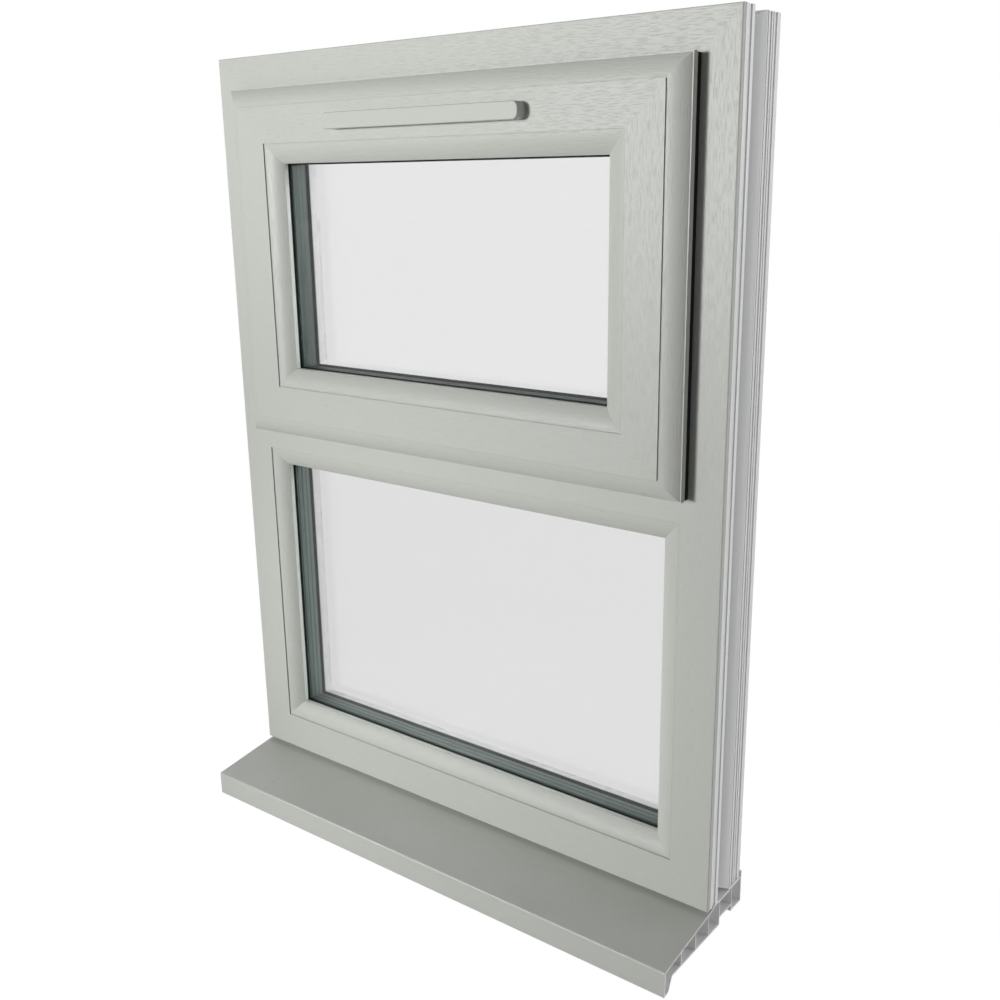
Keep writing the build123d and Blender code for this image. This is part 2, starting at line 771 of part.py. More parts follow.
bottom_rail = sash_bars["bottom"]
gearbox_floor = sash_bottom + groove_floor
gearbox_rise = (gearbox_floor, gearbox_floor + gearbox_height)
gearbox_front = hardware_line - gearbox_depth / 2
gearbox_span = (gearbox_front, gearbox_front + gearbox_depth)
gearbox_x = (-gearbox_half_length, gearbox_half_length)
gearbox = span_box(gearbox_x, gearbox_span, gearbox_rise)
pocket_x = (gearbox_x[0] - gearbox_gap, gearbox_x[1] + gearbox_gap)
pocket_span = (gearbox_span[0] - gearbox_gap, gearbox_span[1] + gearbox_gap)
bottom_rail -= span_box(pocket_x, pocket_span, (gearbox_floor - cut_overrun, gearbox_rise[1]))


# Handle in the middle of the bottom rail

handle_level = sash_bottom + (body_side + sash_floor) / 2
base_back = sash_back + handle_base_depth
handle_plane = Plane.XZ.offset(-sash_back) * Pos(0, handle_level)
base_outline = RectangleRounded(handle_base_length, handle_base_height, handle_base_corner)
handle_base = extrude(handle_plane * base_outline, -handle_base_depth)
handle_base = fillet(handle_base.faces().sort_by(Axis.Y)[-1].edges(), handle_base_edge)
spindle_end = gearbox_span[0]
spindle_room = (spindle_end - cut_overrun, base_back + cut_overrun)
spindle_hole = rod_along_y(spindle_hole_radius, 0, spindle_room, handle_level)
handle_base -= spindle_hole
rail_hole_span = (spindle_end, sash_back + cut_overrun)
bottom_rail -= rod_along_y(spindle_hole_radius, 0, rail_hole_span, handle_level)
gearbox -= spindle_hole

handle_screws = []
for end in (-1, 1):
    place = end * handle_screw_spacing / 2
    head_span = (base_back - handle_base_edge - screw_head_height, base_back - handle_base_edge)
    shank_span = (sash_back - screw_length / 2, head_span[0])
    head = rod_along_y(screw_head_radius, place, head_span, handle_level)
    shank = rod_along_y(screw_radius, place, shank_span, handle_level)
    head_room = (head_span[0], base_back + cut_overrun)
    handle_base -= rod_along_y(screw_head_radius, place, head_room, handle_level)
    handle_base -= shank
    bottom_rail -= shank
    gearbox -= shank
    handle_screws.append(head + shank)

lever_start = base_back + stay_gap
lever_inner = lever_start + lever_offset
lever_outer = lever_inner + lever_depth
lever_line = Polyline(
    (-hub_radius, lever_start),
    (hub_radius, lever_start),
    (hub_radius, lever_inner),
    (lever_reach, lever_inner),
    (lever_reach, lever_outer),
    (-hub_radius, lever_outer),
    close=True,
)
lever_side = make_face(lever_line)
lever_side = corner_round(lever_side, (hub_radius, lever_inner), lever_bend_radius)
lever_side = corner_round(lever_side, (-hub_radius, lever_outer), lever_bend_radius)
handle_lever = extrude(Plane.XY.offset(handle_level) * lever_side, lever_width / 2, both=True)
lever_rim = handle_lever.edges().filter_by(Axis.Y, reverse=True).filter_by(Axis.Z, reverse=True)
outer_rim = lever_rim.filter_by_position(Axis.Y, lever_outer - lever_bend_radius, lever_outer)
handle_lever = fillet(outer_rim, lever_edge)
spindle_half = spindle_side / 2
spindle_x = (-spindle_half, spindle_half)
spindle_rise = (handle_level - spindle_half, handle_level + spindle_half)
handle_spindle = span_box(spindle_x, (spindle_end, lever_start + lever_offset / 2), spindle_rise)
handle_lever -= handle_spindle
button_out = lever_outer + button_height
button_in = button_out - button_length
button_pocket = (button_in - button_travel - button_fit, button_out + cut_overrun)
handle_lever -= rod_along_y(button_radius + button_fit, 0, button_pocket, handle_level)
lock_button = rod_along_y(button_radius, 0, (button_in, button_out), handle_level)
lock_button = fillet(lock_button.faces().sort_by(Axis.Y)[-1].edges(), button_fit)


# Named pieces

def mirrored(piece):
    """Left-hand twin of a right-hand piece."""
    return mirror(piece, about=Plane.YZ)


pieces = {
    "frame_head": frame_bars["top"],
    "frame_bottom_rail": frame_bars["bottom"],
    "frame_jamb_left": jamb_left,
    "frame_jamb_right": jamb_right,
    "transom": transom,
    "cill": cill,
    "sash_top_rail": top_rail,
    "sash_bottom_rail": bottom_rail,
    "sash_stile_left": stile_left,
    "sash_stile_right": stile_right,
    "sash_weather_gasket": weather_gasket,
    "vent_canopy": canopy,
    "vent_grille": grille,
    "vent_shutter": shutter,
    "stay_track_left": mirrored(track_body),
    "stay_track_right": track_body,
    "stay_packer_left": mirrored(stay_packer),
    "stay_packer_right": stay_packer,
    "stay_screws": Compound(children=stay_screws + [mirrored(screw) for screw in stay_screws]),
    "stay_slider_left": mirrored(slider),
    "stay_slider_right": slider,
    "stay_short_arm_left": mirrored(short_arm),
    "stay_short_arm_right": short_arm,
    "stay_long_arm_left": mirrored(long_arm),
    "stay_long_arm_right": long_arm,
    "stay_vent_bar_left": mirrored(vent_bar),
    "stay_vent_bar_right": vent_bar,
    "vent_bar_screws": Compound(children=bar_screws + [mirrored(screw) for screw in bar_screws]),
    "lock_rod": lock_rod,
    "lock_gearbox": gearbox,
    "lock_keeps": Compound(children=keeps),
    "keep_screws": Compound(children=keep_screws),
    "handle_base": handle_base,
    "handle_lever": handle_lever,
    "handle_spindle": handle_spindle,
    "handle_screws": Compound(children=handle_screws),
    "lock_button": lock_button,
}
for name, piece in fixed_glazing.items():
    pieces["fixed_" + name] = piece
for name, piece in sash_glazing.items():
    pieces["sash_" + name] = piece

os.makedirs("parts", exist_ok=True)
for name, piece in pieces.items():
    export_step(piece, "parts/" + name + ".step")
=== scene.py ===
import math
import bpy
from mathutils import Matrix, Vector


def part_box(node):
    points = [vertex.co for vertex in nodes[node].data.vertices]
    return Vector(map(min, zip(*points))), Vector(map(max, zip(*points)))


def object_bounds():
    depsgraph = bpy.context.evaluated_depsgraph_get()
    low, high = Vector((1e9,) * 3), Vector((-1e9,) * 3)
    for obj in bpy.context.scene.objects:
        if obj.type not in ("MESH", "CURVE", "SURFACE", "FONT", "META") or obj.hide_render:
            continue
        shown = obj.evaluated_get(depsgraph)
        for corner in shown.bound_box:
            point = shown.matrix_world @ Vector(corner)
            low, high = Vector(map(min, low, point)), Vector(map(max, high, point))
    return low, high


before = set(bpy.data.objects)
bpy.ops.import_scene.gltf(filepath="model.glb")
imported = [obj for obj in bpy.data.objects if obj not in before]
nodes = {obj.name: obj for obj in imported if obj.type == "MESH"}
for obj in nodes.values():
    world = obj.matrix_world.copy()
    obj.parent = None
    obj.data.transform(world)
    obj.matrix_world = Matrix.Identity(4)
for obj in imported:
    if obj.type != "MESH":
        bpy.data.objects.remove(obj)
cad_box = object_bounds()
scene = bpy.context.scene
scene.view_settings.view_transform = "Standard"


# Places on the window in metres, taken from its pieces

half_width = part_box("frame_jamb_right")[1].x
frame_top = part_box("frame_head")[1].z
frame_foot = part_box("frame_bottom_rail")[0].z
transom_middle = (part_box("transom")[0].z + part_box("transom")[1].z) / 2
sash_half_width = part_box("sash_stile_right")[1].x
sash_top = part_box("sash_top_rail")[1].z
sash_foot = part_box("sash_bottom_rail")[0].z
sash_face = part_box("sash_top_rail")[0].y
sash_glass_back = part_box("sash_inner_pane")[1].y
fixed_glass_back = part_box("fixed_inner_pane")[1].y
cill_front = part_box("cill")[0].y


# Colours and node helpers

def tone(code):
    """Linear colour from an sRGB hex code."""
    parts = [int(code[i:i + 2], 16) / 255 for i in (0, 2, 4)]
    line = [p / 12.92 if p <= 0.04045 else ((p + 0.055) / 1.055) ** 2.4 for p in parts]
    return (*line, 1.0)


def add(tree, kind, inputs=None, **settings):
    """New node with its settings and inputs; an input that is a socket is linked."""
    made = tree.nodes.new("ShaderNode" + kind)
    for key, value in settings.items():
        setattr(made, key, value)
    for key, value in (inputs or {}).items():
        feed(tree, made.inputs[key], value)
    return made


def feed(tree, socket, value):
    """Link a socket to an input, or set a constant on it."""
    if isinstance(value, bpy.types.NodeSocket):
        tree.links.new(value, socket)
    else:
        socket.default_value = value


def calc(tree, operation, a, b=0.0):
    return add(tree, "Math", {0: a, 1: b}, operation=operation).outputs[0]


def times(tree, *factors):
    """Product of two or more values."""
    product = factors[0]
    for factor in factors[1:]:
        product = calc(tree, "MULTIPLY", product, factor)
    return product


def least(tree, a, b):
    return calc(tree, "MINIMUM", a, b)


def most(tree, a, b):
    return calc(tree, "MAXIMUM", a, b)


def below(tree, value, limit):
    """1 where the value is under the limit, or else 0."""
    return calc(tree, "LESS_THAN", value, limit)


def over(tree, value, limit):
    """1 where the value is over the limit, or else 0."""
    return calc(tree, "GREATER_THAN", value, limit)


def blend_colour(tree, factor, a, b):
    return add(tree, "Mix", {0: factor, 6: a, 7: b}, data_type="RGBA").outputs[2]


def blend_value(tree, factor, a, b):
    return add(tree, "Mix", {0: factor, 2: a, 3: b}, data_type="FLOAT").outputs[0]


def span(tree, value, low, high, to_low=0.0, to_high=1.0):
    """Value mapped from one span onto another, held at both ends."""
    made = add(tree, "MapRange", {0: value, 1: low, 2: high, 3: to_low, 4: to_high})
    return made.outputs[0]


def noise(tree, vector, scale=1.0, detail=2.0, roughness=0.55):
    inputs = {"Vector": vector, "Scale": scale, "Detail": detail, "Roughness": roughness}
    return add(tree, "TexNoise", inputs).outputs[0]


def place(tree):
    """The surface point in metres in the window's frame."""
    return add(tree, "TexCoord").outputs["Object"]


def place_by_axis(tree):
    """The x, y and z of the surface point."""
    return add(tree, "SeparateXYZ", {0: place(tree)}).outputs


def stretched(tree, x, y, z, scales):
    """Point of a pattern with its own scale along each axis."""
    parts = [times(tree, part, scale) for part, scale in zip((x, y, z), scales)]
    return add(tree, "CombineXYZ", dict(enumerate(parts))).outputs[0]


def run_along(axis, lengthways, crossways):
    """Scales of a pattern that is drawn out along X or Z, in waves per metre."""
    if axis == "x":
        return lengthways, crossways, crossways
    return crossways, crossways, lengthways


def new_material(name):
    made = bpy.data.materials.new(name)
    made.use_nodes = True
    tree = made.node_tree
    tree.nodes.clear()
    shader = add(tree, "BsdfPrincipled")
    out = add(tree, "OutputMaterial")
    tree.links.new(shader.outputs[0], out.inputs[0])
    return made, tree, shader


def dress(tree, shader, **inputs):
    """Set or link inputs of the shader."""
    for key, value in inputs.items():
        feed(tree, shader.inputs[key.replace("_", " ")], value)


def bumped(tree, height, strength, depth):
    """Normal of a relief of the given depth in metres."""
    inputs = {"Strength": strength, "Distance": depth, "Height": height}
    return add(tree, "Bump", inputs).outputs[0]


# Foil and white of the extrusions

FOIL = tone("BBBDB7")
FOIL_DEEP = tone("B7B9B3")
FOIL_HIGH = tone("BEC0BA")
WHITE = tone("EFEFEE")
WHITE_SHADE = tone("E2E3E4")
# Painted light: a pale greenish tint for the returns beside the glass, standing in for the light that
# reaches them through the glass
PAINTED_GLASS_LIGHT_TINT = tone("CFD7D0")
# Painted shade: greyer white for the recess in the frame's outer edge
RECESS = tone("CDCFD0")
BLACK = (0, 0, 0, 1)

# Patterns: waves per metre, where two are given along and across the run, and spans of noise
GRAIN_DEPTH = 0.00012
GRAIN_STRENGTH = 0.8
GRAIN_WANDER = 0.004
WANDER_WAVES = (14, 14, 14)
RIDGE_WAVES = (40, 760)
RIDGE_SPAN = (0.36, 0.62)
RIDGE_SHARE = 0.2
PORE_WAVES = (85, 980)
PORE_SPAN = (0.36, 0.46)
PORE_SHARE = 0.8
TINT_WAVES = (6, 6, 6)
TINT_SHARE = 0.25
DIE_LINE_WAVES = (14, 1200)
DIE_LINE_SPAN = (0.35, 0.7)
DIE_LINE_RELIEF = 0.03
NOISE_SPAN = (0.3, 0.7)
FOIL_ROUGHNESS = (0.52, 0.42)
WHITE_ROUGHNESS = (0.26, 0.34)

# Shade in creases of the foil and in hollows and grooves of the white, by how open they are
CREASE_REACH = 0.0025
CREASE_SPAN = (0.55, 0.9)
CREASE_LIGHT = {"x": 0.78, "z": 0.6}
HOLLOW_REACH = 0.02
HOLLOW_SPAN = (0.92, 0.995)
GROOVE_SPAN = (0.45, 0.65)
GROOVE_LIGHT = 0.95
# Openness over which painted light, a faint emission, fades in the narrow grooves of the white
GROOVE_PAINTED_LIGHT_SPAN = (0.3, 0.6)
SAWN_END = 0.0005


def wood_emboss(tree, x, y, z, along):
    """Height of a pressed wood grain that runs along X or Z: short pores on faint ridges."""
    wander = noise(tree, stretched(tree, x, y, z, WANDER_WAVES))
    wander = times(tree, calc(tree, "SUBTRACT", wander, 0.5), GRAIN_WANDER)
    if along == "x":
        grain_at = (x, y, calc(tree, "ADD", z, wander))
    else:
        grain_at = (calc(tree, "ADD", x, wander), y, z)
    ridges = noise(tree, stretched(tree, *grain_at, run_along(along, *RIDGE_WAVES)), roughness=0.5)
    pores = noise(tree, stretched(tree, *grain_at, run_along(along, *PORE_WAVES)), roughness=0.5)
    ridge_height = times(tree, span(tree, ridges, *RIDGE_SPAN), RIDGE_SHARE)
    pore_height = times(tree, span(tree, pores, *PORE_SPAN), PORE_SHARE)
    return calc(tree, "ADD", ridge_height, pore_height)


def openness(tree, reach):
    """Share of the near surroundings that the piece itself leaves open."""
    inputs = {"Distance": reach}
    return add(tree, "AmbientOcclusion", inputs, samples=4, only_local=True).outputs["AO"]


def foil_material(name, along, where, hollow=0.55, gloss=0.33, polish=0.0, glow=0.0, groove_painted_light=0.0):
    """Agate grey woodgrain foil on the weather side of a white extrusion.

    hollow is the share of light left in wide hollows of the white. glow and groove_painted_light are
    painted light: a faint emission added inside open ends and in narrow grooves."""
    made, tree, shader = new_material(name)
    x, y, z = place_by_axis(tree)
    height = wood_emboss(tree, x, y, z, along)
    foiled, painted_tint, painted_recess_shade = where(tree, x, y, z)

    tint = span(tree, noise(tree, stretched(tree, x, y, z, TINT_WAVES)), *NOISE_SPAN)
    foil = blend_colour(tree, span(tree, height, 0.1, 0.9), FOIL_DEEP, FOIL)
    foil = blend_colour(tree, times(tree, tint, TINT_SHARE), foil, FOIL_HIGH)
    die_lines = noise(tree, stretched(tree, x, y, z, run_along(along, *DIE_LINE_WAVES)))
    white = blend_colour(tree, span(tree, die_lines, *DIE_LINE_SPAN), WHITE, WHITE_SHADE)
    # Painted shade: the white is greyed in the outer edge's recess, darkest at its front
    white = blend_colour(tree, painted_recess_shade, white, RECESS)
    # Painted light: the white of the returns beside the glass is tinted pale green, as if lit through
    # the glass
    white = blend_colour(tree, painted_tint, white, PAINTED_GLASS_LIGHT_TINT)
    base = blend_colour(tree, foiled, white, foil)

    # Painted shade: the base colour is darkened towards black in creases of the foil and in hollows
    # and grooves of the white, by how open they are
    narrow = openness(tree, CREASE_REACH)
    dim_foil = span(tree, narrow, *CREASE_SPAN, CREASE_LIGHT[along], 1.0)
    wide = openness(tree, HOLLOW_REACH)
    in_groove = span(tree, wide, *GROOVE_SPAN, GROOVE_LIGHT, hollow)
    dim_white = most(tree, in_groove, span(tree, wide, *HOLLOW_SPAN, hollow, 1.0))
    base = blend_colour(tree, blend_value(tree, foiled, dim_white, dim_foil), BLACK, base)

    foil_roughness = [rough - polish for rough in FOIL_ROUGHNESS]
    rough_foil = span(tree, height, 0.0, 1.0, *foil_roughness)
    rough_white = span(tree, die_lines, *NOISE_SPAN, *WHITE_ROUGHNESS)
    relief = blend_value(tree, foiled, times(tree, die_lines, DIE_LINE_RELIEF), height)
    dress(tree, shader, Base_Color=base, Roughness=blend_value(tree, foiled, rough_white, rough_foil),
          Normal=bumped(tree, relief, GRAIN_STRENGTH, GRAIN_DEPTH), Specular_IOR_Level=gloss)
    # Painted light: the bare white glows faintly inside the cill's open chambers and in the frame's
    # narrow grooves
    if glow or groove_painted_light:
        bare = calc(tree, "SUBTRACT", 1.0, foiled)
        within = below(tree, calc(tree, "ABSOLUTE", x), half_width - SAWN_END)
        lit = most(tree, times(tree, within, glow), span(tree, wide, *GROOVE_PAINTED_LIGHT_SPAN, groove_painted_light, 0.0))
        dress(tree, shader, Emission_Color=WHITE, Emission_Strength=times(tree, bare, lit))
    return made


# Where the foil lies. Each function gives the share of foil, of a painted greenish tint that stands
# in for light through the glass, and of painted shade in the outer edge's recess

FRAME_STRIP = 0.0048
FRAME_INNER = 0.012
FRAME_FOIL_BACK = 0.0095
FRAME_TINT_BACK = 0.018
# Painted shade in the outer edge's recess: its depth, front and back, and the span over which it
# fades towards the back
RECESS_FLOOR = 0.003
RECESS_FRONT = 0.0195
RECESS_BACK = 0.0446
RECESS_DARK = (0.0202, 0.034)
RECESS_REAR_SHARE = 0.3
SASH_INNER = 0.06
SASH_LIP_BACK = 0.0155
SASH_FOIL_BACK = 0.0095
SASH_TINT_BACK = 0.0184
CILL_NOSE_TOP = 0.0115
CILL_SLOPE = 14 / 90.3
CILL_SKIN = 0.001
CILL_NOSE_SKIN = 0.0008
CILL_FOIL_BACK = 0.0135
CILL_END_SKIN = 0.00005


def by_fixed_light(tree, y, z):
    """The return in front of the lower glass, below the middle of the transom."""
    return times(tree, below(tree, z, transom_middle), below(tree, y, FRAME_TINT_BACK))


def on_frame(tree, x, y, z):
    """Foil on the weather face, the moulding and the first strip of the outer edge."""
    side = calc(tree, "SUBTRACT", half_width, calc(tree, "ABSOLUTE", x))
    ends = least(tree, calc(tree, "SUBTRACT", frame_top, z), calc(tree, "SUBTRACT", z, frame_foot))
    edge = least(tree, side, ends)
    strip = below(tree, y, FRAME_STRIP)
    inner = over(tree, edge, FRAME_INNER)
    inside = times(tree, inner, below(tree, y, FRAME_FOIL_BACK))
    # Painted light: mask of the greenish tint on the inner returns beside the lower glass
    painted_tint = times(tree, inner, by_fixed_light(tree, y, z))
    # Painted shade: mask of the recess in the outer edge, fading from its front towards its back
    sunk = times(tree, over(tree, edge, RECESS_FLOOR), below(tree, edge, FRAME_INNER))
    fading = span(tree, y, *RECESS_DARK, 1.0, RECESS_REAR_SHARE)
    painted_recess_shade = times(tree, sunk, fading, over(tree, y, RECESS_FRONT), below(tree, y, RECESS_BACK))
    return most(tree, strip, inside), painted_tint, painted_recess_shade


def on_sash(tree, x, y, z):
    """Foil on the lip, the face and both mouldings; a painted greenish tint, standing in for light
    through the glass, on the return beside the glass.
    """
    side = calc(tree, "SUBTRACT", sash_half_width, calc(tree, "ABSOLUTE", x))
    ends = least(tree, calc(tree, "SUBTRACT", sash_top, z), calc(tree, "SUBTRACT", z, sash_foot))
    edge = least(tree, side, ends)
    lip = times(tree, below(tree, edge, SASH_INNER), below(tree, y, sash_face + SASH_LIP_BACK))
    painted_tint = times(tree, over(tree, edge, SASH_INNER), below(tree, y, sash_face + SASH_TINT_BACK))
    return most(tree, lip, below(tree, y, sash_face + SASH_FOIL_BACK)), painted_tint, 0.0


def on_transom(tree, x, y, z):
    """Foil on the weather face and both mouldings; a painted greenish tint, standing in for light
    through the glass, beside the lower glass.
    """
    return below(tree, y, FRAME_FOIL_BACK), by_fixed_light(tree, y, z), 0.0


def on_cill(tree, x, y, z):
    """Foil covers the top slope and the nose, not the sawn ends, the chambers or the underside."""
    run = calc(tree, "SUBTRACT", y, cill_front)
    top = calc(tree, "ADD", CILL_NOSE_TOP - CILL_SKIN, times(tree, run, CILL_SLOPE))
    above = times(tree, over(tree, z, top), below(tree, y, CILL_FOIL_BACK))
    nose = below(tree, y, cill_front + CILL_NOSE_SKIN)
    within = below(tree, calc(tree, "ABSOLUTE", x), half_width - CILL_END_SKIN)
    return times(tree, most(tree, above, nose), within), 0.0, 0.0


# Other materials

SPECKLE_SPAN = (0.35, 0.65)
SPECKLE_DETAIL = {"detail": 3.0, "roughness": 0.6}
CLOUD_SHARE = 0.3
CLOUD_WAVES = 30.0
ROUGHNESS_SWING = 0.06
BEAD_LINE_WAVES = (12, 1200)
BEAD_CLOUD_WAVES = (22, 22, 22)
BEAD_ROUGHNESS = (0.26, 0.3)
GASKET_WAVES = 700.0
GASKET_ROUGHNESS = (0.5, 0.62)
SPACER_ROLL_SPAN = (-0.85, -0.4)
SPACER_ROLL_SHARE = 0.8
SPACER_FINE_WAVES = (6, 900, 6)
SPACER_FINE_SHARE = 0.2
SPACER_ROUGHNESS = (0.53, 0.4)
BRUSH_WAVES = (30, 1500)
STEEL_ROUGHNESS = (0.24, 0.4)
FILM_WAVES = 14.0
FILM_SPAN = (0.35, 0.75)
FILM_ROUGHNESS = (0.0, 0.003)
SKIN_DEPTH = 0.0001
BRUSH_DEPTH = 0.00005
SPACER_LINE_DEPTH = 0.0002
SPACER_LINES = 1020.0
GASKET_LIP = 0.001


def extrusion_material(name, along):
    """Smooth white extrusion with faint die lines along its length."""
    made, tree, shader = new_material(name)
    x, y, z = place_by_axis(tree)
    streak = noise(tree, stretched(tree, x, y, z, run_along(along, *BEAD_LINE_WAVES)))
    cloud = noise(tree, stretched(tree, x, y, z, BEAD_CLOUD_WAVES), detail=3.0)
    base = blend_colour(tree, span(tree, streak, *DIE_LINE_SPAN), WHITE, WHITE_SHADE)
    base = blend_colour(tree, times(tree, cloud, CLOUD_SHARE), base, WHITE)
    dress(tree, shader, Base_Color=base, Roughness=span(tree, cloud, *NOISE_SPAN, *BEAD_ROUGHNESS),
          Normal=bumped(tree, streak, strength=0.02, depth=SKIN_DEPTH), Specular_IOR_Level=0.5)
    return made


def moulded_material(name, light, shade, rough, grain, relief, specular=0.5):
    """Fine moulded or sprayed skin: speckle in colour, roughness and relief."""
    made, tree, shader = new_material(name)
    point = place(tree)
    speckle = noise(tree, point, grain, **SPECKLE_DETAIL)
    cloud = noise(tree, point, CLOUD_WAVES)
    base = blend_colour(tree, span(tree, speckle, *SPECKLE_SPAN), shade, light)
    base = blend_colour(tree, times(tree, cloud, CLOUD_SHARE), base, light)
    roughness = span(tree, speckle, *NOISE_SPAN, rough - ROUGHNESS_SWING, rough + ROUGHNESS_SWING)
    dress(tree, shader, Base_Color=base, Roughness=roughness,
          Normal=bumped(tree, speckle, relief, SKIN_DEPTH), Specular_IOR_Level=specular)
    return made


def bead_gasket_material(name, glass_back):
    """Pale gasket body beside the bead, with a black lip on the glass."""
    made, tree, shader = new_material(name)
    speckle = noise(tree, place(tree), GASKET_WAVES, **SPECKLE_DETAIL)
    body = blend_colour(tree, speckle, tone("C2C8C8"), tone("CED3D3"))
    lip = blend_colour(tree, speckle, tone("0C0D0D"), tone("141515"))
    on_lip = below(tree, place_by_axis(tree)[1], glass_back + GASKET_LIP)
    dress(tree, shader, Base_Color=blend_colour(tree, on_lip, body, lip),
          Roughness=span(tree, speckle, *NOISE_SPAN, *GASKET_ROUGHNESS),
          Normal=bumped(tree, speckle, strength=0.2, depth=SKIN_DEPTH), Specular_IOR_Level=0.2)
    return made


def spacer_material(name, light, shade):
    """Rolled spacer bar with fine lines along it."""
    made, tree, shader = new_material(name)
    x, y, z = place_by_axis(tree)
    beat = calc(tree, "SINE", times(tree, y, SPACER_LINES))
    finer = noise(tree, stretched(tree, x, y, z, SPACER_FINE_WAVES))
    rolled = span(tree, beat, *SPACER_ROLL_SPAN, 0.0, SPACER_ROLL_SHARE)
    lines = calc(tree, "ADD", rolled, span(tree, finer, *NOISE_SPAN, 0.0, SPACER_FINE_SHARE))
    dress(tree, shader, Base_Color=blend_colour(tree, lines, shade, light),
          Roughness=span(tree, lines, 0.0, 1.0, *SPACER_ROUGHNESS),
          Normal=bumped(tree, lines, strength=0.3, depth=SPACER_LINE_DEPTH), Specular_IOR_Level=0.4)
    return made


def brushed_material(name, along):
    """Brushed stainless steel with fine lines along one way."""
    made, tree, shader = new_material(name)
    x, y, z = place_by_axis(tree)
    lines_at = stretched(tree, x, y, z, run_along(along, *BRUSH_WAVES))
    streak = noise(tree, lines_at, **SPECKLE_DETAIL)
    base = blend_colour(tree, span(tree, streak, *SPECKLE_SPAN), tone("B4B4B2"), tone("CFCFCC"))
    dress(tree, shader, Base_Color=base, Roughness=span(tree, streak, *NOISE_SPAN, *STEEL_ROUGHNESS),
          Normal=bumped(tree, streak, strength=0.15, depth=BRUSH_DEPTH), Metallic=1.0)
    return made


def glass_material(name, colour):
    """Clear float glass that lets lamp light through, with a faint film on it."""
    made, tree, shader = new_material(name)
    film = noise(tree, place(tree), FILM_WAVES, detail=3.0)
    dress(tree, shader, Base_Color=colour, Transmission_Weight=1.0, IOR=1.5,
          Roughness=span(tree, film, *FILM_SPAN, *FILM_ROUGHNESS))
    clear = add(tree, "BsdfTransparent", {0: colour})
    shadow = add(tree, "LightPath").outputs["Is Shadow Ray"]
    mixed = add(tree, "MixShader", {0: shadow, 1: shader.outputs[0], 2: clear.outputs[0]})
    out = next(n for n in tree.nodes if n.type == "OUTPUT_MATERIAL")
    tree.links.new(mixed.outputs[0], out.inputs[0])
    return made


# Which piece wears which material

frame_x = foil_material("foil_frame_across", "x", on_frame, groove_painted_light=0.22)
frame_z = foil_material("foil_frame_upright", "z", on_frame, groove_painted_light=0.22)
transom_x = foil_material("foil_transom", "x", on_transom)
sash_x = foil_material("foil_sash_across", "x", on_sash)
sash_z = foil_material("foil_sash_upright", "z", on_sash)
# glow here is painted light: a faint emission in the cill's open chambers
cill_x = foil_material("foil_cill", "x", on_cill, hollow=1.0, gloss=0.7, polish=0.1, glow=0.035)
bead_x = extrusion_material("white_bead_across", "x")
bead_z = extrusion_material("white_bead_upright", "z")
rubber = moulded_material("black_rubber", tone("131414"), tone("0C0D0D"),
                          rough=0.62, grain=900.0, relief=0.25, specular=0.2)
bead_gasket_sash = bead_gasket_material("black_lip_gasket_sash", sash_glass_back)
bead_gasket_fixed = bead_gasket_material("black_lip_gasket_fixed", fixed_glass_back)
# Painted shade: the sash's spacer is a darker copy of the same spacer bar as in the fixed light
spacer_sash = spacer_material("spacer_grey_sash", tone("203C34"), tone("0C1310"))
spacer_fixed = spacer_material("spacer_grey_fixed", tone("52645E"), tone("1A211F"))
packer = moulded_material("packer_plastic", tone("D9DADB"), tone("CFD0D2"),
                          rough=0.5, grain=500.0, relief=0.2)
canopy_grey = moulded_material("foil_grey_moulding", FOIL, FOIL_DEEP,
                               rough=0.46, grain=1500.0, relief=0.06, specular=0.35)
moulding = moulded_material("white_moulding", tone("F0F0EF"), tone("E9EAEA"),
                            rough=0.36, grain=700.0, relief=0.1)
painted = moulded_material("white_paint", tone("F0F0EE"), tone("EAEAE8"),
                           rough=0.3, grain=1100.0, relief=0.12)
nylon = moulded_material("black_nylon", tone("2A2A2B"), tone("202021"),
                         rough=0.5, grain=800.0, relief=0.2)
steel = brushed_material("stainless_steel", "z")
steel_flat = brushed_material("stainless_steel_across", "x")
glass_sash = glass_material("clear_glass_sash", tone("F4F4F4"))
# Painted shade: the fixed light's glass is a slightly darker copy of the sash's glass
glass_fixed = glass_material("clear_glass_fixed", tone("F0F0F0"))

looks = {
    "frame_head": frame_x, "frame_bottom_rail": frame_x,
    "frame_jamb_left": frame_z, "frame_jamb_right": frame_z,
    "transom": transom_x, "cill": cill_x, "vent_canopy": canopy_grey,
    "sash_top_rail": sash_x, "sash_bottom_rail": sash_x,
    "sash_stile_left": sash_z, "sash_stile_right": sash_z,
    "vent_grille": moulding, "vent_shutter": moulding, "lock_button": moulding,
    "handle_base": painted, "handle_lever": painted,
    "stay_slider_left": nylon, "stay_slider_right": nylon,
    "lock_rod": steel_flat, "lock_keeps": steel_flat, "lock_gearbox": steel_flat,
}
for name, obj in nodes.items():
    if name in looks:
        look = looks[name]
    elif name.endswith("_pane"):
        look = glass_sash if name.startswith("sash") else glass_fixed
    elif name.endswith("bead_gasket"):
        look = bead_gasket_sash if name.startswith("sash") else bead_gasket_fixed
    elif "gasket" in name or "edge_seal" in name:
        look = rubber
    elif "spacer_bar" in name:
        look = spacer_sash if name.startswith("sash") else spacer_fixed
    elif "bead_" in name:
        look = bead_z if name.endswith(("left", "right")) else bead_x
    elif "packer" in name:
        look = packer
    else:
        look = steel
    obj.data.materials.clear()
    obj.data.materials.append(look)


# Fine rounding of the edges, so that they catch the light

